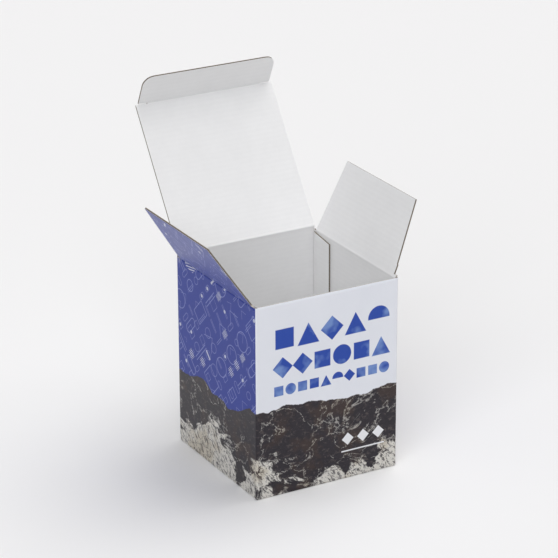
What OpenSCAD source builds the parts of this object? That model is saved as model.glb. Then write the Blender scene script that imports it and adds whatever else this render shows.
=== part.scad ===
// Tuck-top box for a mug, cut and creased from one sheet of corrugated board.
// It stands open: lid leaning back with its tuck flap, dust flaps out to both sides.
// Origin: centre of the underside. Front at -Y, lid hinge at +Y, up is +Z.

/* [Box] */
// Outside width, along the front
box_w = 100; // [80:1:140]
// Outside depth, from front to back
box_d = 102; // [80:1:140]
// Height of the front wall's cut top edge
wall_h = 127.3; // [80:0.1:180]
// Rounding of the outside where the board is creased
corner_r = 1; // [0.6:0.1:1.2]

/* [Board] */
// Thickness of the corrugated board
board_t = 1.4; // [1.2:0.1:1.8]
// Thickness of each flat liner sheet
liner_t = 0.25; // [0.2:0.05:0.3]
// Thickness of the waved sheet between the liners
medium_t = 0.2; // [0.15:0.05:0.25]
// Length of one wave of the fluting
flute_pitch = 3.2; // [2.8:0.1:3.6]

/* [Lid] */
// Height of the lid's crease above the front wall's top edge
lid_rise = 1.2; // [0.8:0.1:2]
// Distance of the lid's side edges inside the box's sides
lid_inset = 1.05; // [1:0.05:3]
// Angle that the open lid leans back from upright
lid_lean = 34.5; // [10:0.5:60]

/* [Tuck flap] */
// Length of the tuck flap from its crease
tuck_len = 22.5; // [14:0.5:30]
// Distance of the tuck flap's side edges inside the lid's
tuck_inset = 1.8; // [1:0.1:4]
// Radius of the tuck flap's outer corners
tuck_corner_r = 7; // [3:0.5:12]
// Fold of the tuck flap out of the lid's plane
tuck_fold = 60; // [50:1:70]
// Length of the lock slit at each end of the tuck crease
slit_len = 7.5; // [4:0.5:12]
// Diameter of the round end of the lock slit
slit_end_d = 1; // [0.6:0.1:1.6]

/* [Dust flaps] */
// Gap between the tips of the two closed dust flaps
dust_tip_gap = 0.3; // [0.3:0.1:6]
// Distance of the dust flaps' back edges from the back wall, at the crease
dust_back_gap = 2.6; // [0.4:0.1:8]
// Height of the shoulder at the front of each dust flap
shoulder_h = 7.5; // [4:0.5:12]
// Step back above the shoulder
shoulder_step = 0.6; // [0.3:0.1:2]
// Width that each dust flap loses along its front edge
front_taper = 4; // [2:0.5:12]
// Width that each dust flap loses along its back edge
back_taper = 7.5; // [2:0.5:12]
// Angle that the left dust flap leans outwards from upright
left_lean = 34; // [20:0.5:60]
// Angle that the right dust flap leans outwards from upright
right_lean = 22; // [20:0.5:60]

/* [Glue flap] */
// Width of the glue flap inside the right wall
glue_w = 21; // [12:0.5:30]
// Drop of the glue flap's top edge from the corner to its free edge
glue_drop = 3.7; // [1:0.1:8]

/* [Bottom] */
// Shift of the outer bottom seam from the middle line, at each side wall
seam_shift = 9; // [4:0.5:16]
// Half width of the seam's slanted middle stretch
seam_slant = 14; // [6:0.5:24]
// Width of the seams between the bottom flaps
seam_w = 0.5; // [0.3:0.1:1]

/* [Fit] */
// Gap between the crest of a crease and its axis
crest_gap = 0.15; // [0.1:0.05:0.3]
// Gap between the closed tuck flap and the front wall
tuck_gap = 0.3; // [0.2:0.1:0.8]
// Gap between the closed lid and the dust flaps under it
dust_gap = 0.55; // [0.3:0.05:1.5]
// Gap between the closed tuck flap and the front edges of the dust flaps
shoulder_gap = 1.4; // [1.3:0.1:3]
// Gap between the dust flaps' feet and the front wall
foot_gap = 0.3; // [0.2:0.1:1]
// Gap between the dust flaps' feet and the side edges of the closed tuck flap
foot_side_gap = 0.4; // [0.3:0.1:1]
// Gap between the glue flap and the closed dust flap above it
glue_gap = 0.2; // [0.1:0.1:1]

/* [Hidden] */
$fn = 48;
eps = 0.01;

// Bevel angles of the crease edges, from the panel's own direction
fold_in = 44;
fold_out = 32;
tuck_fold_in = 38;
tuck_fold_out = 60;

half_t = board_t / 2;
inner_w = box_w - 2 * board_t;
inner_d = box_d - 2 * board_t;
floor_top = 2 * board_t;

// Crease axes: the lid's over the middle of the back wall, the dust flaps' over the side walls
lid_axis_y = box_d / 2 - half_t;
lid_axis_z = wall_h + lid_rise;
dust_axis_x = box_w / 2 - half_t;
dust_axis_z = lid_axis_z - board_t - dust_gap;

// The lid is long enough for the tuck flap to go down behind the front wall
lid_w = box_w - 2 * lid_inset;
lid_len = lid_axis_y + inner_d / 2 - tuck_gap - half_t;
tuck_w = lid_w - 2 * tuck_inset;

// Reach of a dust flap and its edges, measured from the box's middle line
dust_len = dust_axis_x - dust_tip_gap / 2;
foot_y = inner_d / 2 - foot_gap;
foot_h = dust_axis_x - tuck_w / 2 - foot_side_gap;
front_y = inner_d / 2 - tuck_gap - board_t - shoulder_gap;
back_y = inner_d / 2 - dust_back_gap;

glue_top = dust_axis_z - half_t - glue_gap;

// Fluting: the waved sheet's swing, and the glued land at each crest
wave_swing = half_t - liner_t - medium_t / 2;
wave_land = flute_pitch / 8;
wave_steps = 6;
flute_margin = 1.8;

// Sections of the board

// Edge of a panel at a crease, from the inside face over the crest to the outside face
function crease_edge(inner, outer) = [
    [-half_t, crest_gap + half_t / tan(inner)],
    [0, crest_gap],
    [half_t, crest_gap + half_t / tan(outer)]
];

// Cut edge of a panel, square across the board
cut_edge = [[-half_t, 0], [half_t, 0]];

// One flute: the space between the waved sheet and the liner, from crest to crest
module flute_section() {
    span = flute_pitch - 2 * wave_land;
    wave = [for (i = [0:wave_steps])
        let (z = wave_land + span * i / wave_steps)
        [wave_swing * cos(360 * z / flute_pitch) + medium_t / 2, z]];
    liner_y = half_t - liner_t;
    polygon(concat(wave, [[liner_y, wave_land + span], [liner_y, wave_land]]));
}

// Section of a panel across its fluting: x through the board, outwards; y away from the crease
module panel_section(len, start, end) {
    flutes = floor((len - 2 * flute_margin) / flute_pitch);
    finish = [for (i = [len(end) - 1:-1:0]) [end[i].x, len - end[i].y]];
    difference() {
        polygon(concat(start, finish));
        for (i = [0:2 * flutes - 2])
            translate([0, flute_margin + i * flute_pitch / 2])
                mirror([i % 2, 0])
                    flute_section();
    }
}

// Panel upright over its crease: x along the crease, y outwards, z away from the crease
module panel(width, len, start, end) {
    translate([-width / 2, 0, 0])
        rotate([90, 0, 90])
            linear_extrude(height = width)
                panel_section(len, start, end);
}

// Outline cut through a panel, drawn with x along the crease and y away from it
module cut_through() {
    translate([0, board_t, 0])
        rotate([90, 0, 0])
            linear_extrude(height = 2 * board_t)
                children();
}

// Flaps, each upright over its own crease

module lid_panel() {
    panel(lid_w, lid_len,
        crease_edge(fold_in, fold_out), crease_edge(tuck_fold_in, tuck_fold_out));
}

// Straight sides, two round corners and a lock slit from each side
module tuck_outline() {
    slit_x = lid_w / 2 - slit_len;
    slit_y = crest_gap + slit_end_d / 2;
    difference() {
        union() {
            translate([-tuck_w / 2, 0])
                square([tuck_w, tuck_len - tuck_corner_r]);
            translate([-tuck_w / 2 + tuck_corner_r, 0])
                square([tuck_w - 2 * tuck_corner_r, tuck_len]);
            for (side = [-1, 1])
                translate([side * (tuck_w / 2 - tuck_corner_r), tuck_len - tuck_corner_r])
                    circle(r = tuck_corner_r);
        }
        for (side = [-1, 1])
            translate([side * slit_x, slit_y])
                circle(d = slit_end_d);
    }
}

module tuck_panel() {
    intersection() {
        panel(tuck_w, tuck_len, crease_edge(tuck_fold_in, tuck_fold_out), cut_edge);
        cut_through() tuck_outline();
    }
}

// Foot beside the front wall, shoulder, step, and edges that taper to the tip
module dust_outline() {
    step_y = front_y - shoulder_step;
    polygon([
        [back_y, 0],
        [back_y - back_taper, dust_len],
        [-step_y + front_taper, dust_len],
        [-step_y, shoulder_h + shoulder_step],
        [-front_y, shoulder_h],
        [-front_y, foot_h],
        [-foot_y, foot_h],
        [-foot_y, 0]
    ]);
}

module dust_panel() {
    intersection() {
        panel(box_d, dust_len, crease_edge(fold_in, fold_out), cut_edge);
        cut_through() dust_outline();
    }
}

// Carton: four walls, glue flap and bottom, folded from the one sheet

// Rectangle with round corners, centred across and standing on y = 0 if raised
module round_rect(w, h, r) {
    square([w - 2 * r, h], center = true);
    square([w, h - 2 * r], center = true);
    for (sx = [-1, 1], sy = [-1, 1])
        translate([sx * (w / 2 - r), sy * (h / 2 - r)])
            circle(r = r);
}

// Side view of the box's outside: round at the bottom corners, square above
module side_view(w) {
    translate([0, lid_axis_z / 2]) round_rect(w, lid_axis_z, corner_r);
    translate([-w / 2, corner_r]) square([w, lid_axis_z]);
}

// Outside of the folded box, round along every crease
module outside() {
    intersection() {
        linear_extrude(height = lid_axis_z) round_rect(box_w, box_d, corner_r);
        translate([0, box_d, 0]) rotate([90, 0, 0])
            linear_extrude(height = 2 * box_d) side_view(box_w);
        translate([-box_w, 0, 0]) rotate([90, 0, 90])
            linear_extrude(height = 2 * box_w) side_view(box_d);
    }
}

// Wall below a crease: y outwards, its top edge bevelled to a crest under the axis
module creased_wall(width, axis_z) {
    top = [for (p = crease_edge(fold_in, fold_out)) [p.x, axis_z - p.y]];
    translate([-width / 2, 0, 0])
        rotate([90, 0, 90])
            linear_extrude(height = width)
                polygon(concat([[half_t, 0], [-half_t, 0]], top));
}

module front_wall() {
    translate([-box_w / 2, -box_d / 2, 0]) cube([box_w, board_t, wall_h]);
}

module back_wall() {
    translate([0, lid_axis_y, 0]) creased_wall(box_w, lid_axis_z);
}

module side_walls() {
    for (side = [-1, 1])
        translate([side * dust_axis_x, 0, 0])
            rotate([0, 0, -90 * side])
                creased_wall(box_d, dust_axis_z);
}

// Continues the back wall round the corner, glued flat to the inside of the right wall
module glue_flap() {
    translate([inner_w / 2 - board_t, inner_d / 2, 0])
        rotate([90, 0, 90])
            linear_extrude(height = board_t + eps)
                polygon([[eps, 0], [eps, glue_top], [-glue_w, glue_top - glue_drop], [-glue_w, 0]]);
}

// Outer seam of the glued bottom: runs along the box's width with a slanted middle
module outer_seam() {
    reach = box_w / 2 - board_t;
    route = [[-reach, seam_shift], [-seam_slant, seam_shift],
        [seam_slant, -seam_shift], [reach, -seam_shift]];
    lower = [for (p = route) [p.x, p.y - seam_w / 2]];
    upper = [for (i = [len(route) - 1:-1:0]) [route[i].x, route[i].y + seam_w / 2]];
    polygon(concat(lower, upper));
}

// Two layers of bottom flaps, the outer from front and back, the inner from the sides
module bottom() {
    seam_depth = 0.8 * board_t;
    difference() {
        translate([-box_w / 2, -box_d / 2, 0]) cube([box_w, box_d, floor_top]);
        translate([0, 0, -eps]) linear_extrude(height = seam_depth + eps) outer_seam();
        translate([-seam_w / 2, -inner_d / 2, floor_top - seam_depth])
            cube([seam_w, inner_d, seam_depth + eps]);
    }
}

module carton() {
    color([0.86, 0.88, 0.92])
        intersection() {
            outside();
            union() {
                front_wall();
                side_walls();
                back_wall();
                glue_flap();
                bottom();
            }
        }
}

// Flaps in place, as the box stands open

module lid() {
    color([0.89, 0.89, 0.91])
        translate([0, lid_axis_y, lid_axis_z])
            rotate([-lid_lean, 0, 0])
                lid_panel();
}

module tuck_flap() {
    color([0.79, 0.8, 0.82])
        translate([0, lid_axis_y, lid_axis_z])
            rotate([-lid_lean, 0, 0])
                translate([0, 0, lid_len])
                    rotate([tuck_fold, 0, 0])
                        tuck_panel();
}

module left_dust_flap() {
    color([0.5, 0.55, 0.72])
        mirror([1, 0, 0])
            dust_flap(left_lean);
}

module right_dust_flap() {
    color([0.83, 0.83, 0.84])
        dust_flap(right_lean);
}

// Dust flap on the right wall, its front edge towards the front wall
module dust_flap(lean) {
    translate([dust_axis_x, 0, dust_axis_z])
        rotate([0, 0, -90])
            rotate([-lean, 0, 0])
                mirror([1, 0, 0])
                    dust_panel();
}

carton();
lid();
tuck_flap();
left_dust_flap();
right_dust_flap();
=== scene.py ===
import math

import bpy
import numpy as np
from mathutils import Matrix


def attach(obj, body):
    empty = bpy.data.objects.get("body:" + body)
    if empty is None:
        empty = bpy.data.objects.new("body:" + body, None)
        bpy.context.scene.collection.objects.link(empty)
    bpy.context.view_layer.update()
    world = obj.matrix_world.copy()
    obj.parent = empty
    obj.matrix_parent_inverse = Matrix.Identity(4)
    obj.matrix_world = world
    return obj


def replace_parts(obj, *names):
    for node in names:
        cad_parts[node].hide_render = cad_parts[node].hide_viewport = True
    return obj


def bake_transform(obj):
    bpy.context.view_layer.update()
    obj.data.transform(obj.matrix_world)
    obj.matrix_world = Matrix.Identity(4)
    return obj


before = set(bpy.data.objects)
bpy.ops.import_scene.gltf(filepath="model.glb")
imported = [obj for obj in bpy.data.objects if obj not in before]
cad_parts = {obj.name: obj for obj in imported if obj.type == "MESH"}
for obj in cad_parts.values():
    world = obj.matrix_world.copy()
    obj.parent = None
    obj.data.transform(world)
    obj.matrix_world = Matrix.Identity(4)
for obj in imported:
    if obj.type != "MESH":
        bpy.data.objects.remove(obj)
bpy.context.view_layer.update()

# Mug box of fluted board, standing open. Every panel is built as the real board is: two flat
# liners with a waved sheet between them. Formulas work in millimetres, in the part's own frame.
# Each point also carries its place on the flat blank the box is folded from: its distance round
# the walls and its height. The print is drawn on that blank, as it is before the box is folded.

MM = 0.001

# The box
BOX_W, BOX_D, WALL_H = 100.0, 102.0, 127.3
CORNER_R = 1.0
INNER_CORNER_R = 0.15

# The board
BOARD_T = 1.4
HALF_T = BOARD_T / 2
LINER_T = 0.25
MEDIUM_T = 0.2
FLUTE_PITCH = 3.2
FLUTE_SWING = HALF_T - LINER_T - MEDIUM_T / 2
LINER_RIPPLE = 0.006
RIPPLE_STEP = 0.4
FLUTE_STEP = FLUTE_PITCH / 12

# Lid and tuck flap
LID_AXIS_Y, LID_AXIS_Z = BOX_D / 2 - HALF_T, WALL_H + 1.2
LID_HALF_W = BOX_W / 2 - 1.05
LID_LEN = 98.9
LID_LEAN = 34.5
TUCK_HALF_W = LID_HALF_W - 1.8
TUCK_LEN = 22.5
TUCK_CORNER_R = 7.0
TUCK_FOLD = 60.0
SLIT_X = LID_HALF_W - 7.5
SLIT_GAP = 0.33
HOLE_R, HOLE_AT = 0.7, 0.1
CREST_GAP = 0.15

# Dust flaps, from the middle of the wall
DUST_AXIS_X, DUST_AXIS_Z = BOX_W / 2 - HALF_T, 126.55
DUST_LEN = 49.15
LEFT_LEAN, RIGHT_LEAN = 34.0, 22.0
FOOT_Y, FOOT_H = 49.3, 1.75
FRONT_Y, STEP_Y, TIP_FRONT_Y = 46.5, 45.9, 41.9
SHOULDER_H, SHOULDER_STEP = 7.5, 0.6
BACK_Y, TIP_BACK_Y = 47.0, 39.5

# Glue flap and bottom
GLUE_W, GLUE_TOP, GLUE_DROP, GLUE_GAP = 21.0, 125.65, 2.9, 0.35
FLOOR_TOP = 2 * BOARD_T
SEAM_SHIFT, SEAM_SLANT, SEAM_W = 9.0, 14.0, 0.5

# The die presses the board thinner along its cut edges, and the glued fold more
EDGE_PRESS, EDGE_REACH = 0.22, 0.9
FOLD_PRESS, FOLD_REACH = 0.75, 1.8

# It closes the liners along the front wall's rim and the lock slits
RIM_PRESS = 0.77

# A crease reaches this far to both sides of its axis, and bends a little less far
CREASE_REACH = 1.6
CREASE_BEND = 1.3
CREASE_GROOVE = 0.42
CREASE_BEAD = 0.09

# Slack in a comparison of two positions
SLACK = 1e-6

# Distance round the blank of each wall's middle, with the front wall's at 0
FRONT_S, LEFT_S, RIGHT_S, BACK_S = 0.0, -101.0, 101.0, -202.0


# Meshes

def stations(stops, step):
    """Positions from the first stop to the last that hit every stop, at even steps between two."""
    runs = [
        np.linspace(a, b, max(1, math.ceil((b - a) / step - SLACK)) + 1)[:-1]
        for a, b in zip(stops, stops[1:])
    ]
    return np.append(np.concatenate(runs), stops[-1])


def shell(outer, inner, blank, keep=None):
    """Closed body between two grids of points: outer faces, inner faces, and a rim of quads along
    every side of a kept cell whose neighbour isn't kept. blank is each point's place on the flat
    blank. Returns points, quads, the quads' finish (0 outside, 1 inside, 2 rim) and blank."""
    rows, cols = outer.shape[:2]
    if keep is None:
        keep = np.ones((rows - 1, cols - 1), bool)
    ids = np.arange(rows * cols).reshape(rows, cols)
    corner = [ids[:-1, :-1], ids[:-1, 1:], ids[1:, 1:], ids[1:, :-1]]
    front = np.stack(corner, -1)[keep]
    back = front[:, ::-1] + rows * cols
    ring = np.pad(keep, 1)
    neighbour = [ring[:-2, 1:-1], ring[1:-1, 2:], ring[2:, 1:-1], ring[1:-1, :-2]]
    rims = []
    for side in range(4):
        open_side = keep & ~neighbour[side]
        start, end = corner[side][open_side], corner[(side + 1) % 4][open_side]
        rims.append(np.stack([end, start, start + rows * cols, end + rows * cols], -1))
    quads = np.concatenate([front, back, *rims])
    finish = np.repeat([0, 1, 2], [len(front), len(back), len(quads) - 2 * len(front)])
    points = np.concatenate([outer.reshape(-1, 3), inner.reshape(-1, 3)])
    flat = np.tile(blank.reshape(-1, 2), (2, 1))
    used, renumbered = np.unique(quads, return_inverse=True)
    return points[used], renumbered.reshape(-1, 4), finish, flat[used]


def piece(name, shells, finishes, body=None):
    """One mesh object of several shells. finishes lists, for each shell, its materials outside,
    inside and on the rim. Points come in millimetres and are written in metres."""
    points, quads, materials, flats = [], [], [], []
    shown = []
    base = 0
    for (p, q, f, flat), looks in zip(shells, finishes):
        for look in looks:
            if look not in shown:
                shown.append(look)
        index = np.array([shown.index(look) for look in looks])
        points.append(p)
        quads.append(q + base)
        materials.append(index[f])
        flats.append(flat)
        base += len(p)
    points = np.concatenate(points) * MM
    quads = np.concatenate(quads)
    mesh = bpy.data.meshes.new(name)
    mesh.from_pydata(points, [], quads)
    for look in shown:
        mesh.materials.append(look)
    mesh.polygons.foreach_set("material_index", np.concatenate(materials).astype(np.int32))
    mesh.polygons.foreach_set("use_smooth", np.ones(len(quads), bool))
    flat = np.concatenate(flats)
    flat = np.column_stack([flat, np.zeros(len(flat))])
    mesh.attributes.new("blank", "FLOAT_VECTOR", "POINT").data.foreach_set(
        "vector", flat.astype(np.float32).ravel()
    )
    mesh.update()
    mesh.set_sharp_from_angle(angle=math.radians(35))
    obj = bpy.data.objects.new(name, mesh)
    bpy.context.scene.collection.objects.link(obj)
    if body:
        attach(obj, body)
    return obj


class Panel:
    """Frame of a flat panel: along its crease, away from the crease, and out of its printed face."""

    def __init__(self, origin, along, away, blank_at):
        self.origin = np.array(origin, float)
        self.along = np.array(along, float)
        self.away = np.array(away, float)
        self.out = np.cross(self.along, self.away)
        self.blank_at = blank_at

    def at(self, u, n, v):
        """Points u along, n out and v away."""
        spread = np.broadcast_arrays(u, n, v)
        return (
            self.origin
            + spread[0][..., None] * self.along
            + spread[1][..., None] * self.out
            + spread[2][..., None] * self.away
        )

    def blank(self, u, v):
        """Place on the blank of points u along and v away."""
        u, v = np.broadcast_arrays(u, v)
        return np.stack([self.blank_at[0] + u, self.blank_at[1] + v], -1)


def tilted(lean):
    """Sine and cosine of an angle in degrees."""
    return math.sin(math.radians(lean)), math.cos(math.radians(lean))


def pressed(distance, press=EDGE_PRESS):
    """Share of the thickness left at a distance from a cut edge: 1 less a bell curve."""
    return 1 - press * np.exp(-((distance / EDGE_REACH) ** 2))


def edge_columns(width, wide=14, extra=()):
    """Columns from 0 to 1 across a width: close together by both edges, wide in the middle."""
    near = np.array([0.35, 0.8, 1.4, 2.4])
    stops = np.unique(np.concatenate([[0, width], near, width - near, extra]))
    return stations(stops, wide) / width


def near_tip(length):
    """Rows close together by a flap's cut end."""
    return [length - 2.4, length - 1.4, length - 0.8, length - 0.35, length]


def board(panel, v, low, high, columns, keep=None, cut_end=True, fold=False, slit_at=None):
    """Fluted board on a panel: outer liner, waved sheet and inner liner, each a closed shell.
    Row v runs from low(v) to high(v), shared out by the columns from 0 to 1. The waved sheet's
    distance from the middle is the swing times the cosine of its turn, one turn per flute, and
    the liners follow it by a hair. All three come together by the cut edges, and more by the
    lock slits, which run from SLIT_X outwards at the row slit_at. A fold at the high edge is
    pressed flat towards the outside."""
    def layer(step, centre, thickness, turn):
        rows = stations(v, step)
        lo, hi = low(rows)[:, None], high(rows)[:, None]
        u = lo + (hi - lo) * columns[None, :]
        away = rows[:, None]
        inside = u - lo if fold else np.minimum(u - lo, hi - u)
        inside = np.minimum(inside, v[-1] - away) if cut_end else inside
        share = pressed(inside)
        if slit_at is not None:
            to_slit = np.hypot(np.maximum(SLIT_X - np.abs(u), 0), away - slit_at)
            share = np.minimum(share, pressed(to_slit, RIM_PRESS))
        wave = np.cos(2 * math.pi * away / FLUTE_PITCH) * turn
        faces = [(centre + wave) * share + side * thickness / 2 for side in (1, -1)]
        if fold:
            left = 1 - FOLD_PRESS * np.exp(-(((hi - u) / FOLD_REACH) ** 2))
            faces = [HALF_T - (HALF_T - face) * left for face in faces]
        return shell(
            panel.at(u, faces[0], away),
            panel.at(u, faces[1], away),
            panel.blank(u, away),
            None if keep is None else keep(rows),
        )

    liner_at = HALF_T - LINER_T / 2
    return [
        layer(RIPPLE_STEP, liner_at, LINER_T, LINER_RIPPLE),
        layer(FLUTE_STEP, 0, MEDIUM_T, FLUTE_SWING),
        layer(RIPPLE_STEP, -liner_at, LINER_T, LINER_RIPPLE),
    ]


def crease(panel, lean, reach_low, reach_high, low, high, hole=0.0):
    """Crushed board across a crease: a flat strip, from reach_low under the axis to reach_high
    over it, that turns about the axis by the lean times a smooth step. It is scored outside, with
    a low bead inside. A hole of that radius bites a round notch into both ends of the strip.
    panel is the lower panel's frame, with its origin on the axis."""
    t = stations([-reach_low, 0, reach_high], 0.13)[:, None]
    share = edge_columns(high - low)[None, :]
    bite = np.sqrt(np.maximum(hole**2 - (t - HOLE_AT) ** 2, 0))
    u = (low + bite) + (high - low - 2 * bite) * share
    step = np.clip((t + CREASE_BEND) / (2 * CREASE_BEND), 0, 1)
    turn = math.radians(lean) * step * step * (3 - 2 * step)
    left = pressed(np.minimum(u - low, high - u))
    outside = HALF_T * left - CREASE_GROOVE * np.exp(-((t / 0.3) ** 2))
    inside = -HALF_T * left - CREASE_BEAD * np.exp(-((t / 0.6) ** 2))

    def face(n):
        out = n * np.cos(turn) + t * np.sin(turn)
        away = t * np.cos(turn) - n * np.sin(turn)
        return panel.at(u, out, away)

    return shell(face(outside), face(inside), panel.blank(u, t))


# Materials

class Wire:
    """A number or colour between a material's nodes. Arithmetic on it adds the nodes it takes."""

    def __init__(self, tree, socket):
        self.tree = tree
        self.socket = socket

    def math(self, operation, *others, clamp=False):
        node = self.tree.nodes.new("ShaderNodeMath")
        node.operation = operation
        node.use_clamp = clamp
        for socket, value in zip(node.inputs, (self, *others)):
            plug(self.tree, socket, value)
        return Wire(self.tree, node.outputs[0])

    def __add__(self, other):
        return self.math("ADD", other)

    def __sub__(self, other):
        return self.math("SUBTRACT", other)

    def __mul__(self, other):
        return self.math("MULTIPLY", other)

    def __truediv__(self, other):
        return self.math("DIVIDE", other)

    def __abs__(self):
        return self.math("ABSOLUTE")

    __radd__ = __add__
    __rmul__ = __mul__

    def __rsub__(self, other):
        return self.math("MULTIPLY_ADD", -1, other)

    def floor(self):
        return self.math("FLOOR")

    def fract(self):
        return self.math("FRACT")

    def max(self, other):
        return self.math("MAXIMUM", other)

    def min(self, other):
        return self.math("MINIMUM", other)

    def below(self, edge, blur):
        """1 under the edge, 0 over it, with a blurred line between."""
        return ((edge - self) / blur + 0.5).math("ADD", 0, clamp=True)

    def over(self, edge, blur):
        """1 over the edge, 0 under it."""
        return ((self - edge) / blur + 0.5).math("ADD", 0, clamp=True)

    def within(self, low, high, blur):
        """1 between low and high."""
        return abs(self - (low + high) / 2).below((high - low) / 2, blur)


def plug(tree, socket, value):
    """Connects a wire to a node's socket, or writes a plain value in it."""
    if isinstance(value, Wire):
        tree.links.new(value.socket, socket)
    else:
        socket.default_value = value


def shade(red, green, blue):
    """A colour given as it shows on screen, from 0 to 255, as the linear colour of a shader."""
    screen = np.array([red, green, blue]) / 255
    linear = np.where(screen <= 0.04045, screen / 12.92, ((screen + 0.055) / 1.055) ** 2.4)
    return (*linear, 1.0)


class Finish:
    """A material with a Principled shader, and the nodes that its colour and grain come from."""

    def __init__(self, name, roughness, specular=0.5):
        self.material = bpy.data.materials.new(name)
        self.material.use_nodes = True
        self.tree = self.material.node_tree
        self.shader = self.tree.nodes["Principled BSDF"]
        self.shader.inputs["Roughness"].default_value = roughness
        self.shader.inputs["Specular IOR Level"].default_value = specular

    def colour(self, value):
        plug(self.tree, self.shader.inputs["Base Color"], value)

    def blank(self):
        """Distance round the blank and height on it, in millimetres."""
        node = self.tree.nodes.new("ShaderNodeAttribute")
        node.attribute_name = "blank"
        split = self.tree.nodes.new("ShaderNodeSeparateXYZ")
        self.tree.links.new(node.outputs["Vector"], split.inputs[0])
        return Wire(self.tree, split.outputs[0]), Wire(self.tree, split.outputs[1])

    def point(self, x, y, z=0.0):
        node = self.tree.nodes.new("ShaderNodeCombineXYZ")
        for socket, value in zip(node.inputs, (x, y, z)):
            plug(self.tree, socket, value)
        return Wire(self.tree, node.outputs[0])

    def object_place(self):
        node = self.tree.nodes.new("ShaderNodeTexCoord")
        return Wire(self.tree, node.outputs["Object"])

    def noise(self, place, scale, detail=2.0, roughness=0.5, distortion=0.0):
        """Soft noise, from 0 to 1."""
        node = self.tree.nodes.new("ShaderNodeTexNoise")
        plug(self.tree, node.inputs["Vector"], place)
        node.inputs["Scale"].default_value = scale
        node.inputs["Detail"].default_value = detail
        node.inputs["Roughness"].default_value = roughness
        node.inputs["Distortion"].default_value = distortion
        return Wire(self.tree, node.outputs["Fac"])

    def pick(self, place):
        """Three random numbers for each whole-numbered place."""
        node = self.tree.nodes.new("ShaderNodeTexWhiteNoise")
        node.noise_dimensions = "3D"
        plug(self.tree, node.inputs["Vector"], place)
        split = self.tree.nodes.new("ShaderNodeSeparateColor")
        self.tree.links.new(node.outputs["Color"], split.inputs[0])
        return [Wire(self.tree, output) for output in split.outputs]

    def mix(self, factor, first, second):
        """The first colour where the factor is 0, the second where it is 1."""
        node = self.tree.nodes.new("ShaderNodeMix")
        node.data_type = "RGBA"
        plug(self.tree, node.inputs["Factor"], factor)
        plug(self.tree, node.inputs[6], first)
        plug(self.tree, node.inputs[7], second)
        return Wire(self.tree, node.outputs[2])

    def bump(self, height, distance):
        """Relief of that depth in metres, where the height runs from 0 to 1."""
        node = self.tree.nodes.new("ShaderNodeBump")
        node.inputs["Strength"].default_value = 1.0
        node.inputs["Distance"].default_value = distance
        plug(self.tree, node.inputs["Height"], height)
        self.tree.links.new(node.outputs["Normal"], self.shader.inputs["Normal"])


def paper_grain(finish, h, depth):
    """Fine grain of the paper, with the faint washboard of the flutes under it."""
    place = finish.object_place()
    fibres = finish.noise(place, 2600, 3, 0.6)
    clouds = finish.noise(place, 240, 2, 0.5)
    board_wave = (h * (2 * math.pi / FLUTE_PITCH)).math("COSINE")
    finish.bump(fibres * 0.5 + clouds * 0.5 + board_wave * 0.07, depth)
    return fibres, clouds, board_wave


def white_liner():
    finish = Finish("white_liner", 0.72, 0.3)
    s, h = finish.blank()
    fibres, clouds, board_wave = paper_grain(finish, h, 0.00005)
    patches = finish.noise(finish.point(s, h), 0.05, 3, 0.55)
    # Painted shade: the tone also darkens and lightens a little with each flute, standing in for the
    # shading of the washboard.
    tone = fibres * 0.15 + clouds * 0.3 + patches * 0.5 + board_wave * patches * 0.09
    finish.colour(finish.mix(tone, shade(230, 230, 230), shade(243, 243, 243)))
    return finish.material


def bare_board(name, roughness, grain, detail, dark, light):
    """Uncoated board, flecked by its fibres. grain is the number of fibres in a metre."""
    finish = Finish(name, roughness, 0.2)
    fibres = finish.noise(finish.object_place(), grain, detail, 0.6)
    finish.colour(finish.mix(fibres, dark, light))
    finish.bump(fibres, 0.00008)
    return finish.material


# Blur of a step that has no width on the print, and the least size that may be divided by
SHARP = 0.001


def choose(kind, forms):
    """One of several distance fields, by a random number from 0 to 1."""
    chosen = forms[0]
    for number, form in enumerate(forms[1:], 1):
        chosen = chosen + (form - chosen) * kind.over(number / len(forms), SHARP)
    return chosen


def ramp(value):
    """The value held between 0 and 1."""
    return value.math("ADD", 0, clamp=True)


def hill_band(finish, s, h):
    """Dark hills along the foot of the print: where they are, and their colour. The skyline is
    noise along the blank. Pale streaked drifts lie under a lower line with a ragged edge, and
    thin pale veins run over the dark, where a soft noise crosses its middle."""
    ridge = finish.noise(finish.point(s, 3.0), 0.02, 7, 0.52)
    skyline = ridge * 34 + 41 - ramp((s * -1 - 46) / 40) * 8
    mask = (h - skyline).below(0, 0.4)
    slope = finish.point(s * 0.8 + h * 0.55, h * 1.1 - s * 0.35)
    ragged = finish.noise(slope, 0.05, 9, 0.62, 0.9)
    fine = finish.noise(slope, 0.35, 7, 0.7, 0.5)
    swell = finish.noise(finish.point(s, h * 0.4, 9.0), 0.022, 3, 0.5)
    drift_line = swell * 118 - 45
    pale = (h + (ragged - 0.5) * 80 - drift_line).below(0, 3)
    streaks = finish.noise(finish.point(s * 0.5 + h * 0.4, h * 0.12 - s * 0.14), 1.1, 6, 0.65, 0.8)
    pale = pale * (1 - fine.over(0.58, 0.05).max(streaks.over(0.55, 0.05)) * 0.85)
    vein = abs(finish.noise(finish.point(s, h, 70.0), 0.028, 8, 0.6, 0.5) - 0.5).below(0.006, 0.01)
    pale = pale.max(vein * fine.over(0.48, 0.1) * 0.55)
    warm = finish.noise(finish.point(s, h, 40.0), 0.045, 5, 0.6).over(0.53, 0.1)
    dark = finish.mix(fine, shade(14, 11, 19), shade(54, 48, 56))
    facets = finish.noise(slope, 0.3, 9, 0.75, 0.4).over(0.57, 0.05)
    dark = finish.mix(facets * 0.6, dark, shade(92, 84, 82))
    dark = finish.mix(warm * 0.3, dark, shade(84, 62, 46))
    light = finish.mix(fine, shade(196, 190, 178), shade(238, 237, 234))
    light = finish.mix(warm * 0.35, light, shade(168, 150, 108))
    return mask, finish.mix(pale, dark, light)


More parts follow.
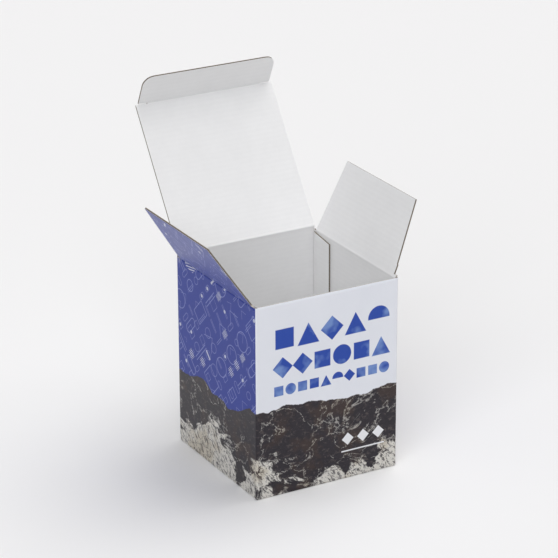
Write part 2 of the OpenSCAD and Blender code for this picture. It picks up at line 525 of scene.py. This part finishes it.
# Rows of shapes on the front: low edge, high edge and pitch
ROWS = [(96, 112, 16.6), (78, 92, 13.9), (66, 74, 8.3)]
ROWS_FROM, ROWS_TO = -38.5, 44.5


def bold_shapes(finish, s, h):
    """Three rows of bold plain shapes on the front, one to a cell: discs, diamonds, wedges, half
    discs and tiles. Each row has its own height and its own pitch."""
    inside = [h.within(low, high, 0.2) for low, high, _ in ROWS]

    def of_row(values):
        first, second, third = [place * value for place, value in zip(inside, values)]
        return first + second + third

    base = of_row([low for low, _, _ in ROWS])
    height = of_row([high - low for low, high, _ in ROWS]) + SHARP
    pitch = of_row([pitch for _, _, pitch in ROWS]) + SHARP
    cell = (s - ROWS_FROM) / pitch
    across = (cell.fract() - 0.5) * pitch / height
    up = (h - base) / height - 0.5
    kind, _, _ = finish.pick(finish.point(cell.floor(), base.floor()))
    distance = (across * across + up * up).math("SQRT")
    disc = distance - 0.46
    diamond = abs(across) + abs(up) - 0.5
    wedge = (abs(across) * 1.1 + up * 0.6 - 0.26).max(-0.44 - up)
    half = (distance - 0.48).max(up * -1 - 0.04)
    tile = abs(across).max(abs(up)) - 0.4
    rows = inside[0].max(inside[1]).max(inside[2]).over(0.98, 0.02)
    mask = choose(kind, [disc, diamond, wedge, half, tile]).below(0, 0.02)
    return mask * rows * s.within(ROWS_FROM, ROWS_TO, 0.1)


MARKS_FROM, MARK_PITCH, MARK_H, MARK_REACH = 9, 11, 27, 4.2


def corner_marks(s, h):
    """Three small diamonds over a thin line, low on the right of the front."""
    across = ((s - MARKS_FROM) / MARK_PITCH).fract() - 0.5
    diamonds = (abs(across) * MARK_PITCH + abs(h - MARK_H)).below(MARK_REACH, 0.3)
    diamonds = diamonds * s.within(MARKS_FROM, MARKS_FROM + 3 * MARK_PITCH, 0.1)
    line = s.within(10, 41, 0.2) * h.within(18.4, 19.3, 0.2)
    return diamonds.max(line)


def outline_cells(finish, s, h, side, shift, line, fill):
    """Thin outlines in square cells turned by 45 degrees, each rings, tiles, pills, bars or roofs
    by chance: where the lines are, and where bold solid marks are. line is the lines' half width
    in millimetres, and fill the share of cells with a bold mark."""
    p = (s + h) * (math.sqrt(0.5) / side) + shift
    q = (h - s) * (math.sqrt(0.5) / side) + shift
    kind, size, bold = finish.pick(finish.point(p.floor(), q.floor(), shift))
    turned = (size * 7).fract().over(0.5, SHARP)
    a, b = p.fract() - 0.5, q.fract() - 0.5
    x, y = a + (b - a) * turned, b + (a - b) * turned
    reach = size * 0.2 + 0.2
    ring = abs((x * x + y * y).math("SQRT") - reach)
    tile = abs(abs(x).max(abs(y) * 1.3) - reach)
    end = (abs(x) - reach * 0.6).max(0)
    pill = abs((end * end + y * y).math("SQRT") - 0.15)
    bar = abs(abs(y) - 0.06).max(abs(x) - reach - 0.08)
    roof = abs(abs(x) + y * 0.8 - 0.1).max(abs(y) - reach)
    blur = 0.25 / side
    thin = choose(kind, [ring, tile, pill, bar, roof]).below(line / side, blur)
    stick = abs(y).max(abs(x) - 0.26) - 0.07
    dot = (x * x + y * y).math("SQRT") - 0.11
    stripes = (abs((y * 9).fract() - 0.5) - 0.22).max(abs(y) - 0.28).max(abs(x) - 0.22)
    solid = choose(kind, [stick, dot, stripes]).below(0, blur) * bold.over(1 - fill, SHARP)
    return thin, solid


# The blue print runs over the left wall, from back to front, and from the right wall onwards
LEFT_BLUE, RIGHT_BLUE_FROM = (-151.5, -50.4), 50.4

# The outlines' two sizes: cell, shift, half width of a line, share of cells with a bold mark
OUTLINES = [(19.0, 3.3, 0.26, 0.0), (10.5, 0.0, 0.17, 0.16)]


def printed_liner():
    """Coated and printed liner: pale front with bold shapes, blue sides, hills along the foot."""
    finish = Finish("printed_liner", 0.34, 0.5)
    finish.shader.inputs["IOR"].default_value = 1.3
    s, h = finish.blank()
    fibres, _, _ = paper_grain(finish, h, 0.00003)
    patches = finish.noise(finish.point(s, h), 0.03, 4, 0.6)
    pale = finish.mix(patches, shade(226, 229, 237), shade(238, 240, 246))
    on_side = s.within(*LEFT_BLUE, 0.15).max(s.over(RIGHT_BLUE_FROM, 0.15))
    faded = finish.noise(finish.point(s, h, 5.0), 0.045, 3, 0.6).over(0.56, 0.12)
    bold_ink = finish.mix(faded * 0.6, shade(34, 72, 168), shade(140, 172, 220))
    front = finish.mix(bold_shapes(finish, s, h), pale, bold_ink)
    blue = finish.mix(patches, shade(20, 43, 140), shade(34, 59, 158))
    for side, shift, line, fill in OUTLINES:
        thin, solid = outline_cells(finish, s, h, side, shift, line, fill)
        blue = finish.mix(thin * 0.7, blue, shade(150, 160, 215))
        blue = finish.mix(solid * 0.9, blue, shade(206, 210, 226))
    ink = finish.mix(on_side, front, blue)
    mask, hills = hill_band(finish, s, h)
    ink = finish.mix(mask, ink, hills)
    ink = finish.mix(corner_marks(s, h) * s.within(-50, 50, 0.1), ink, shade(236, 237, 240))
    finish.colour(finish.mix(fibres * 0.06, ink, shade(150, 150, 150)))
    return finish.material


WHITE = white_liner()
PRINT = printed_liner()
CUT = bare_board("cut_liner", 0.9, 1500, 3, shade(158, 151, 142), shade(212, 207, 200))
# Painted shade: the kraft inside the board, on the waved sheet and the liners' inner faces, is drawn far
# darker than kraft is. It stands in for the shadow deep in the flutes.
KRAFT_PAINTED_SHADE = bare_board("kraft_fluting_painted_shade", 0.92, 900, 4, shade(42, 33, 27), shade(76, 62, 51))
FLUTE_CUT = bare_board("kraft_cut", 0.92, 900, 4, shade(128, 114, 100), shade(176, 162, 146))

BOARD_FINISH = [(PRINT, KRAFT_PAINTED_SHADE, CUT), (KRAFT_PAINTED_SHADE, KRAFT_PAINTED_SHADE, FLUTE_CUT), (KRAFT_PAINTED_SHADE, WHITE, CUT)]
CREASE_FINISH = [(PRINT, WHITE, CUT)]


# Panels' frames

LEAN_SIN, LEAN_COS = tilted(LID_LEAN)
lid_panel = Panel(
    (0, LID_AXIS_Y, LID_AXIS_Z), (-1, 0, 0), (0, LEAN_SIN, LEAN_COS), (BACK_S, LID_AXIS_Z)
)
FOLD_SIN, FOLD_COS = tilted(TUCK_FOLD)
tuck_axis = lid_panel.at(0.0, 0.0, LID_LEN)
tuck_panel = Panel(
    tuck_axis,
    (-1, 0, 0),
    FOLD_COS * lid_panel.away - FOLD_SIN * lid_panel.out,
    (BACK_S, LID_AXIS_Z + LID_LEN),
)


def dust_panel(side, lean, s):
    """Frame of a dust flap on the left (-1) or right (1) wall."""
    sine, cosine = tilted(lean)
    return Panel(
        (side * DUST_AXIS_X, 0, DUST_AXIS_Z), (0, side, 0), (side * sine, 0, cosine), (s, DUST_AXIS_Z)
    )


# Lid

def slit_columns(half_w):
    """Columns of a panel of that half width, with one at the end of each lock slit."""
    return edge_columns(2 * half_w, extra=[half_w - SLIT_X, half_w + SLIT_X])


def beside_slit(columns, half_w):
    """Which columns' cells lie over a lock slit, and not over the crease between the slits."""
    middle = ((columns[1:] + columns[:-1]) - 1) * half_w
    return np.abs(middle) > SLIT_X


lid_columns = slit_columns(LID_HALF_W)
lid_end = LID_LEN - CREASE_REACH
lid = piece(
    "lid_board",
    board(
        lid_panel,
        [CREASE_REACH, lid_end, LID_LEN - SLIT_GAP],
        lambda v: np.full(len(v), -LID_HALF_W),
        lambda v: np.full(len(v), LID_HALF_W),
        lid_columns,
        lambda v: (v[1:] <= lid_end + SLACK)[:, None] | beside_slit(lid_columns, LID_HALF_W),
        cut_end=False,
        slit_at=LID_LEN - SLIT_GAP,
    ),
    BOARD_FINISH,
    "lid",
)
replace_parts(lid, "lid")


# Tuck flap

def tuck_half(v):
    """Half width: straight, then a quarter circle at each outer corner."""
    over = np.clip(v - (TUCK_LEN - TUCK_CORNER_R), 0, TUCK_CORNER_R)
    return TUCK_HALF_W - TUCK_CORNER_R + np.sqrt(TUCK_CORNER_R**2 - over**2)


tuck_columns = slit_columns(TUCK_HALF_W)
tuck = piece(
    "tuck_flap_board",
    board(
        tuck_panel,
        [SLIT_GAP, CREASE_REACH, TUCK_LEN - TUCK_CORNER_R, *near_tip(TUCK_LEN)],
        lambda v: -tuck_half(v),
        tuck_half,
        tuck_columns,
        lambda v: (v[:-1] >= CREASE_REACH - SLACK)[:, None] | beside_slit(tuck_columns, TUCK_HALF_W),
        slit_at=SLIT_GAP,
    ),
    BOARD_FINISH,
    "tuck_flap",
)
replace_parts(tuck, "tuck_flap")


# Dust flaps

FRONT_EDGE = (
    [FOOT_H, SHOULDER_H, SHOULDER_H + SHOULDER_STEP, DUST_LEN],
    [FRONT_Y, FRONT_Y, STEP_Y, TIP_FRONT_Y],
)
BACK_EDGE = ([0, DUST_LEN], [BACK_Y, TIP_BACK_Y])
DUST_COLUMNS = edge_columns(FRONT_Y + BACK_Y)


def dust_flap(name, side, panel, node):
    """A dust flap's board. Along the right flap the front edge comes first, along the left one last."""
    front = lambda v: np.interp(v, *FRONT_EDGE)
    back = lambda v: np.interp(v, *BACK_EDGE)
    low, high = (front, back) if side > 0 else (back, front)
    flap = piece(
        name,
        board(panel, [*FRONT_EDGE[0][:-1], *near_tip(DUST_LEN)], lambda v: -low(v), high, DUST_COLUMNS),
        BOARD_FINISH,
        node,
    )
    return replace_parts(flap, node)


left_panel = dust_panel(-1, LEFT_LEAN, LEFT_S)
right_panel = dust_panel(1, RIGHT_LEAN, RIGHT_S)
dust_flap("left_dust_flap_board", -1, left_panel, "left_dust_flap")
dust_flap("right_dust_flap_board", 1, right_panel, "right_dust_flap")


# Walls

def plan(inset, side_stops):
    """The walls' line round the box at an inset from the outside, rounded at the corners. It starts
    at the glued corner, back right, and runs over back, left, front and right. The inset is one
    number for each row. Returns x and y, and the distance round the blank."""
    inset = np.asarray(inset, float)[:, None]
    radius = np.maximum(CORNER_R - inset, INNER_CORNER_R)
    half = {"x": BOX_W / 2, "y": BOX_D / 2}
    sides = [("x", 0, 1, BACK_S), ("y", -1, 0, LEFT_S), ("x", 0, -1, FRONT_S), ("y", 1, 0, RIGHT_S)]
    xs, ys, ss = [], [], []
    for number, (run, out_x, out_y, s_middle) in enumerate(sides):
        along = half[run] - inset - radius
        out = half["y" if run == "x" else "x"] - inset
        inner_stops = np.array(side_stops[number])[None, :]
        u = np.concatenate([-along, np.clip(inner_stops, 0.1 - along, along - 0.1), along], 1)
        xs.append(out_x * out - out_y * u)
        ys.append(out_y * out + out_x * u)
        ss.append(s_middle + u + 0 * inset)
        if number < 3:
            turn = np.linspace(0, math.pi / 2, 6)[1:-1][None, :]
            centre_x = out_x * (out - radius) - out_y * along
            centre_y = out_y * (out - radius) + out_x * along
            cosine, sine = np.cos(turn), np.sin(turn)
            xs.append(centre_x + radius * (out_x * cosine - out_y * sine))
            ys.append(centre_y + radius * (out_y * cosine + out_x * sine))
            ss.append(s_middle + half[run] + radius * (turn - math.pi / 4))
    return np.concatenate(xs, 1), np.concatenate(ys, 1), np.concatenate(ss, 1)


SIDE_STOPS = [
    [-LID_HALF_W, -20, 20, LID_HALF_W],
    [-BACK_Y, -20, 20, FOOT_Y],
    [-48, -20, 20, 48],
    [-FOOT_Y, -20, 20, BACK_Y],
]


def wall_grid(inset, z):
    """Points of the walls' line carried up to each height z, with the blank's place of each."""
    x, y, s = plan(inset, SIDE_STOPS)
    height = np.broadcast_to(np.asarray(z)[:, None], x.shape)
    return np.stack([x, y, height], -1), np.stack([s, height], -1)


BEND_LOW = LID_AXIS_Z - CREASE_REACH
DUST_LOW = DUST_AXIS_Z - CREASE_REACH
# The short stubs beside the creases end a little under the creases' axes
STUB_TOP = DUST_AXIS_Z - CREST_GAP
BACK_TOP = LID_AXIS_Z - CREST_GAP
WALL_STOPS = [DUST_LOW, 125.9, STUB_TOP, 126.6, BEND_LOW, WALL_H, BACK_TOP]


def wall_keep(z, s, rim=WALL_H):
    """Cells of the walls: each stretch of the blank goes up to its own height."""
    middle = (s[0, 1:] + s[0, :-1]) / 2
    top = np.full(len(middle), rim)
    for centre in (LEFT_S, RIGHT_S):
        towards_front = (middle - centre) * np.sign(FRONT_S - centre)
        top[(towards_front > -BOX_D / 2) & (towards_front < FOOT_Y)] = DUST_LOW
        top[(towards_front > -BOX_D / 2) & (towards_front < -BACK_Y)] = STUB_TOP
    back = middle < LEFT_S - BOX_D / 2 + 0.5
    top[back] = BACK_TOP
    top[np.abs(middle - BACK_S) < LID_HALF_W - 0.3] = BEND_LOW
    return z[1:, None] <= top[None, :] + SLACK


# The pinched part of the front wall's rim ends here, and fades in over this width
FRONT_RIM, PINCH_FADE = BOX_W / 2 - 0.2, 1.5


def wall_layer(depth, thickness, turn, step, start):
    """One sheet of the walls' board, depth inside the outer face at its middle. The sheets are
    pinched together along the front wall's rim: each moves in depth by its distance from the
    board's middle times a bell curve of the height under the rim."""
    z = stations([start, *WALL_STOPS], step)
    wave = np.cos(2 * math.pi * (WALL_H - z) / FLUTE_PITCH) * turn
    middle = depth - wave
    outer, blank = wall_grid(middle - thickness / 2, z)
    inner, _ = wall_grid(middle + thickness / 2, z)
    on_front = np.clip((FRONT_RIM - np.abs(blank[..., 0])) / PINCH_FADE, 0, 1)
    pinch = (HALF_T - middle) * RIM_PRESS * np.exp(-(((WALL_H - z) / EDGE_REACH) ** 2))
    for face in (outer, inner):
        face[..., 1] += pinch[:, None] * on_front
    return outer, inner, blank, z


def folded_foot(inset):
    """Rows of the outer liner's fold into the bottom: a quarter circle in the wall's section."""
    turn = np.linspace(0, math.pi / 2, 7)[:-1]
    radius = CORNER_R - inset
    return wall_grid(CORNER_R - radius * np.sin(turn), CORNER_R - radius * np.cos(turn))


def outer_walls():
    outer, inner, blank, z = wall_layer(LINER_T / 2, LINER_T, 0, RIPPLE_STEP, CORNER_R)
    foot_out, foot_blank = folded_foot(0)
    foot_in, _ = folded_foot(LINER_T)
    keep = wall_keep(z, blank[..., 0])
    keep = np.vstack([np.ones((len(foot_out), keep.shape[1]), bool), keep])
    return shell(
        np.vstack([foot_out, outer]), np.vstack([foot_in, inner]), np.vstack([foot_blank, blank]), keep
    )


def plain_walls(depth, thickness, turn, step, rim=WALL_H):
    outer, inner, blank, z = wall_layer(depth, thickness, turn, step, BOARD_T)
    return shell(outer, inner, blank, wall_keep(z, blank[..., 0], rim))


outside = piece("carton_outer_liner", [outer_walls()], [(PRINT, KRAFT_PAINTED_SHADE, CUT)], "carton")
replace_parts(outside, "carton")
piece(
    "carton_fluting",
    [plain_walls(HALF_T, MEDIUM_T, FLUTE_SWING, FLUTE_STEP, BEND_LOW)],
    [(KRAFT_PAINTED_SHADE, KRAFT_PAINTED_SHADE, FLUTE_CUT)],
    "carton",
)
piece(
    "carton_inner_liner",
    [plain_walls(BOARD_T - LINER_T / 2, LINER_T, 0, RIPPLE_STEP)],
    [(KRAFT_PAINTED_SHADE, WHITE, CUT)],
    "carton",
)

# Glue flap, inside the right wall

glue_panel = Panel(
    (BOX_W / 2 - BOARD_T - HALF_T, BOX_D / 2 - BOARD_T, 0), (0, 1, 0), (0, 0, 1), (RIGHT_S + 60, 0)
)
piece(
    "glue_flap_board",
    board(
        glue_panel,
        [FLOOR_TOP, GLUE_TOP - GLUE_DROP, GLUE_TOP - 0.4],
        lambda v: np.interp(v, [GLUE_TOP - GLUE_DROP, GLUE_TOP], [-GLUE_W, 0]),
        lambda v: np.full(len(v), -GLUE_GAP),
        edge_columns(GLUE_W),
        fold=True,
    ),
    [(KRAFT_PAINTED_SHADE, KRAFT_PAINTED_SHADE, CUT), (KRAFT_PAINTED_SHADE, KRAFT_PAINTED_SHADE, FLUTE_CUT), (KRAFT_PAINTED_SHADE, WHITE, CUT)],
    "carton",
)


# Bottom flaps: two outer ones from front and back, two inner ones from the sides

def plate(x, low, high, z_low, z_high):
    """A flap lying flat: for each x it runs in y from low to high."""
    share = np.linspace(0, 1, 5)[:, None]
    x, low, high = (np.asarray(a, float)[None, :] for a in (x, low, high))
    y = low + (high - low) * share
    grid = lambda z: np.stack(np.broadcast_arrays(x, y, np.float64(z)), -1)
    blank = np.stack(np.broadcast_arrays(x, y * 0 - 20), -1)
    return shell(grid(z_high), grid(z_low), blank)


seam_x = [CORNER_R - BOX_W / 2, -SEAM_SLANT, SEAM_SLANT, BOX_W / 2 - CORNER_R]
seam_y = np.array([SEAM_SHIFT, SEAM_SHIFT, -SEAM_SHIFT, -SEAM_SHIFT])
y_end = BOX_D / 2 - CORNER_R
inner_x, inner_y = BOX_W / 2 - BOARD_T, BOX_D / 2 - BOARD_T
bottom_finish = (WHITE, WHITE, CUT)
piece(
    "bottom_flaps",
    [
        plate(seam_x, [-y_end] * 4, seam_y - SEAM_W / 2, 0, BOARD_T),
        plate(seam_x, seam_y + SEAM_W / 2, [y_end] * 4, 0, BOARD_T),
        plate([-inner_x, -SEAM_W / 2], [-inner_y] * 2, [inner_y] * 2, BOARD_T, FLOOR_TOP),
        plate([SEAM_W / 2, inner_x], [-inner_y] * 2, [inner_y] * 2, BOARD_T, FLOOR_TOP),
    ],
    [bottom_finish] * 4,
    "carton",
)


# Creases

def crease_piece(name, panel, lean, reach_low, reach_high, low, high, hole=0.0):
    """A crease strip, bent to its lean between the two panels."""
    strip = crease(panel, lean, reach_low, reach_high, low, high, hole)
    obj = piece(name, [strip], CREASE_FINISH)
    sine, cosine = tilted(lean)
    start = panel.at(0.0, 0.0, -CREASE_BEND)
    end = panel.at(0.0, CREASE_BEND * sine, CREASE_BEND * cosine)
    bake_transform(obj)


def upright(panel):
    """The wall's frame under a flap's, with its origin on the flap's axis."""
    return Panel(panel.origin, panel.along, (0, 0, 1), panel.blank_at)


crease_piece(
    "lid_crease", upright(lid_panel), LID_LEAN, CREASE_REACH, CREASE_REACH,
    -LID_HALF_W, LID_HALF_W,
)
crease_piece(
    "left_flap_crease", upright(left_panel), LEFT_LEAN, CREASE_REACH, FOOT_H,
    -BACK_Y, FOOT_Y,
)
crease_piece(
    "right_flap_crease", upright(right_panel), RIGHT_LEAN, CREASE_REACH, FOOT_H,
    -FOOT_Y, BACK_Y,
)
crease_piece(
    "tuck_crease", Panel(tuck_axis, lid_panel.along, lid_panel.away, tuck_panel.blank_at),
    -TUCK_FOLD, CREASE_REACH, CREASE_REACH, -SLIT_X, SLIT_X,
    hole=HOLE_R,
)


# Studio: floor, light and camera

FLOOR_HALF = 8.0
floor_corners = [(FLOOR_HALF * x, FLOOR_HALF * y, 0) for x, y in ((-1, -1), (1, -1), (1, 1), (-1, 1))]
floor_mesh = bpy.data.meshes.new("floor")
floor_mesh.from_pydata(floor_corners, [], [(0, 1, 2, 3)])
floor = bpy.data.objects.new("floor", floor_mesh)
bpy.context.scene.collection.objects.link(floor)
floor_finish = Finish("floor_paper", 0.9, 0.0)
floor_finish.colour(shade(240, 240, 240))
floor_mesh.materials.append(floor_finish.material)

# Strength of the world: what lights the box, and what the camera and reflections see
AMBIENT, BACKDROP = 0.21, 0.87
world = bpy.data.worlds.new("studio")
world.use_nodes = True
tree = world.node_tree
background = tree.nodes["Background"]
path = tree.nodes.new("ShaderNodeLightPath")
seen = Wire(tree, path.outputs["Is Camera Ray"])
seen = seen + Wire(tree, path.outputs["Is Glossy Ray"]) + Wire(tree, path.outputs["Is Transmission Ray"])
background.inputs["Color"].default_value = (1, 1, 1, 1)
plug(tree, background.inputs["Strength"], seen.min(1) * (BACKDROP - AMBIENT) + AMBIENT)
bpy.context.scene.world = world

# Softboxes: strength, direction round the box (0 from the front, 90 from the right), height,
# spread and colour
COOL, WARM = (0.955, 0.965, 1.0), (1.0, 0.985, 0.98)
SOFTBOXES = [
    ("front_left", 1.32, -42, 37, 50, COOL),
    ("right", 0.85, 90, 65, 50, WARM),
    ("back_right", 0.68, 130, 62, 50, WARM),
    ("top", 0.45, -20, 76, 40, WARM),
]


def softbox(name, strength, around, height, spread, colour):
    """A far, wide lamp, which lights every place alike. Angles are in degrees."""
    lamp = bpy.data.lights.new(name, "SUN")
    lamp.energy = strength
    lamp.color = colour
    lamp.angle = math.radians(spread)
    lamp_object = bpy.data.objects.new(name, lamp)
    lamp_object.rotation_euler = (math.radians(90 - height), 0, math.radians(around))
    bpy.context.scene.collection.objects.link(lamp_object)


for settings in SOFTBOXES:
    softbox(*settings)

CAMERA_AT = (-0.76181, -1.34397, 0.73747)
AZIMUTH, ELEVATION, ROLL = 29.378, 21.826, -0.213
camera = bpy.data.cameras.new("camera")
camera.lens = 173.2
camera.sensor_width = 36
camera.clip_start, camera.clip_end = 0.05, 50
camera_object = bpy.data.objects.new("camera", camera)
camera_object.matrix_world = (
    Matrix.Translation(CAMERA_AT)
    @ Matrix.Rotation(-math.radians(AZIMUTH), 4, "Z")
    @ Matrix.Rotation(math.radians(90 - ELEVATION), 4, "X")
    @ Matrix.Rotation(math.radians(ROLL), 4, "Z")
)
bpy.context.scene.collection.objects.link(camera_object)
bpy.context.scene.camera = camera_object
bpy.context.scene.view_settings.view_transform = "Standard"
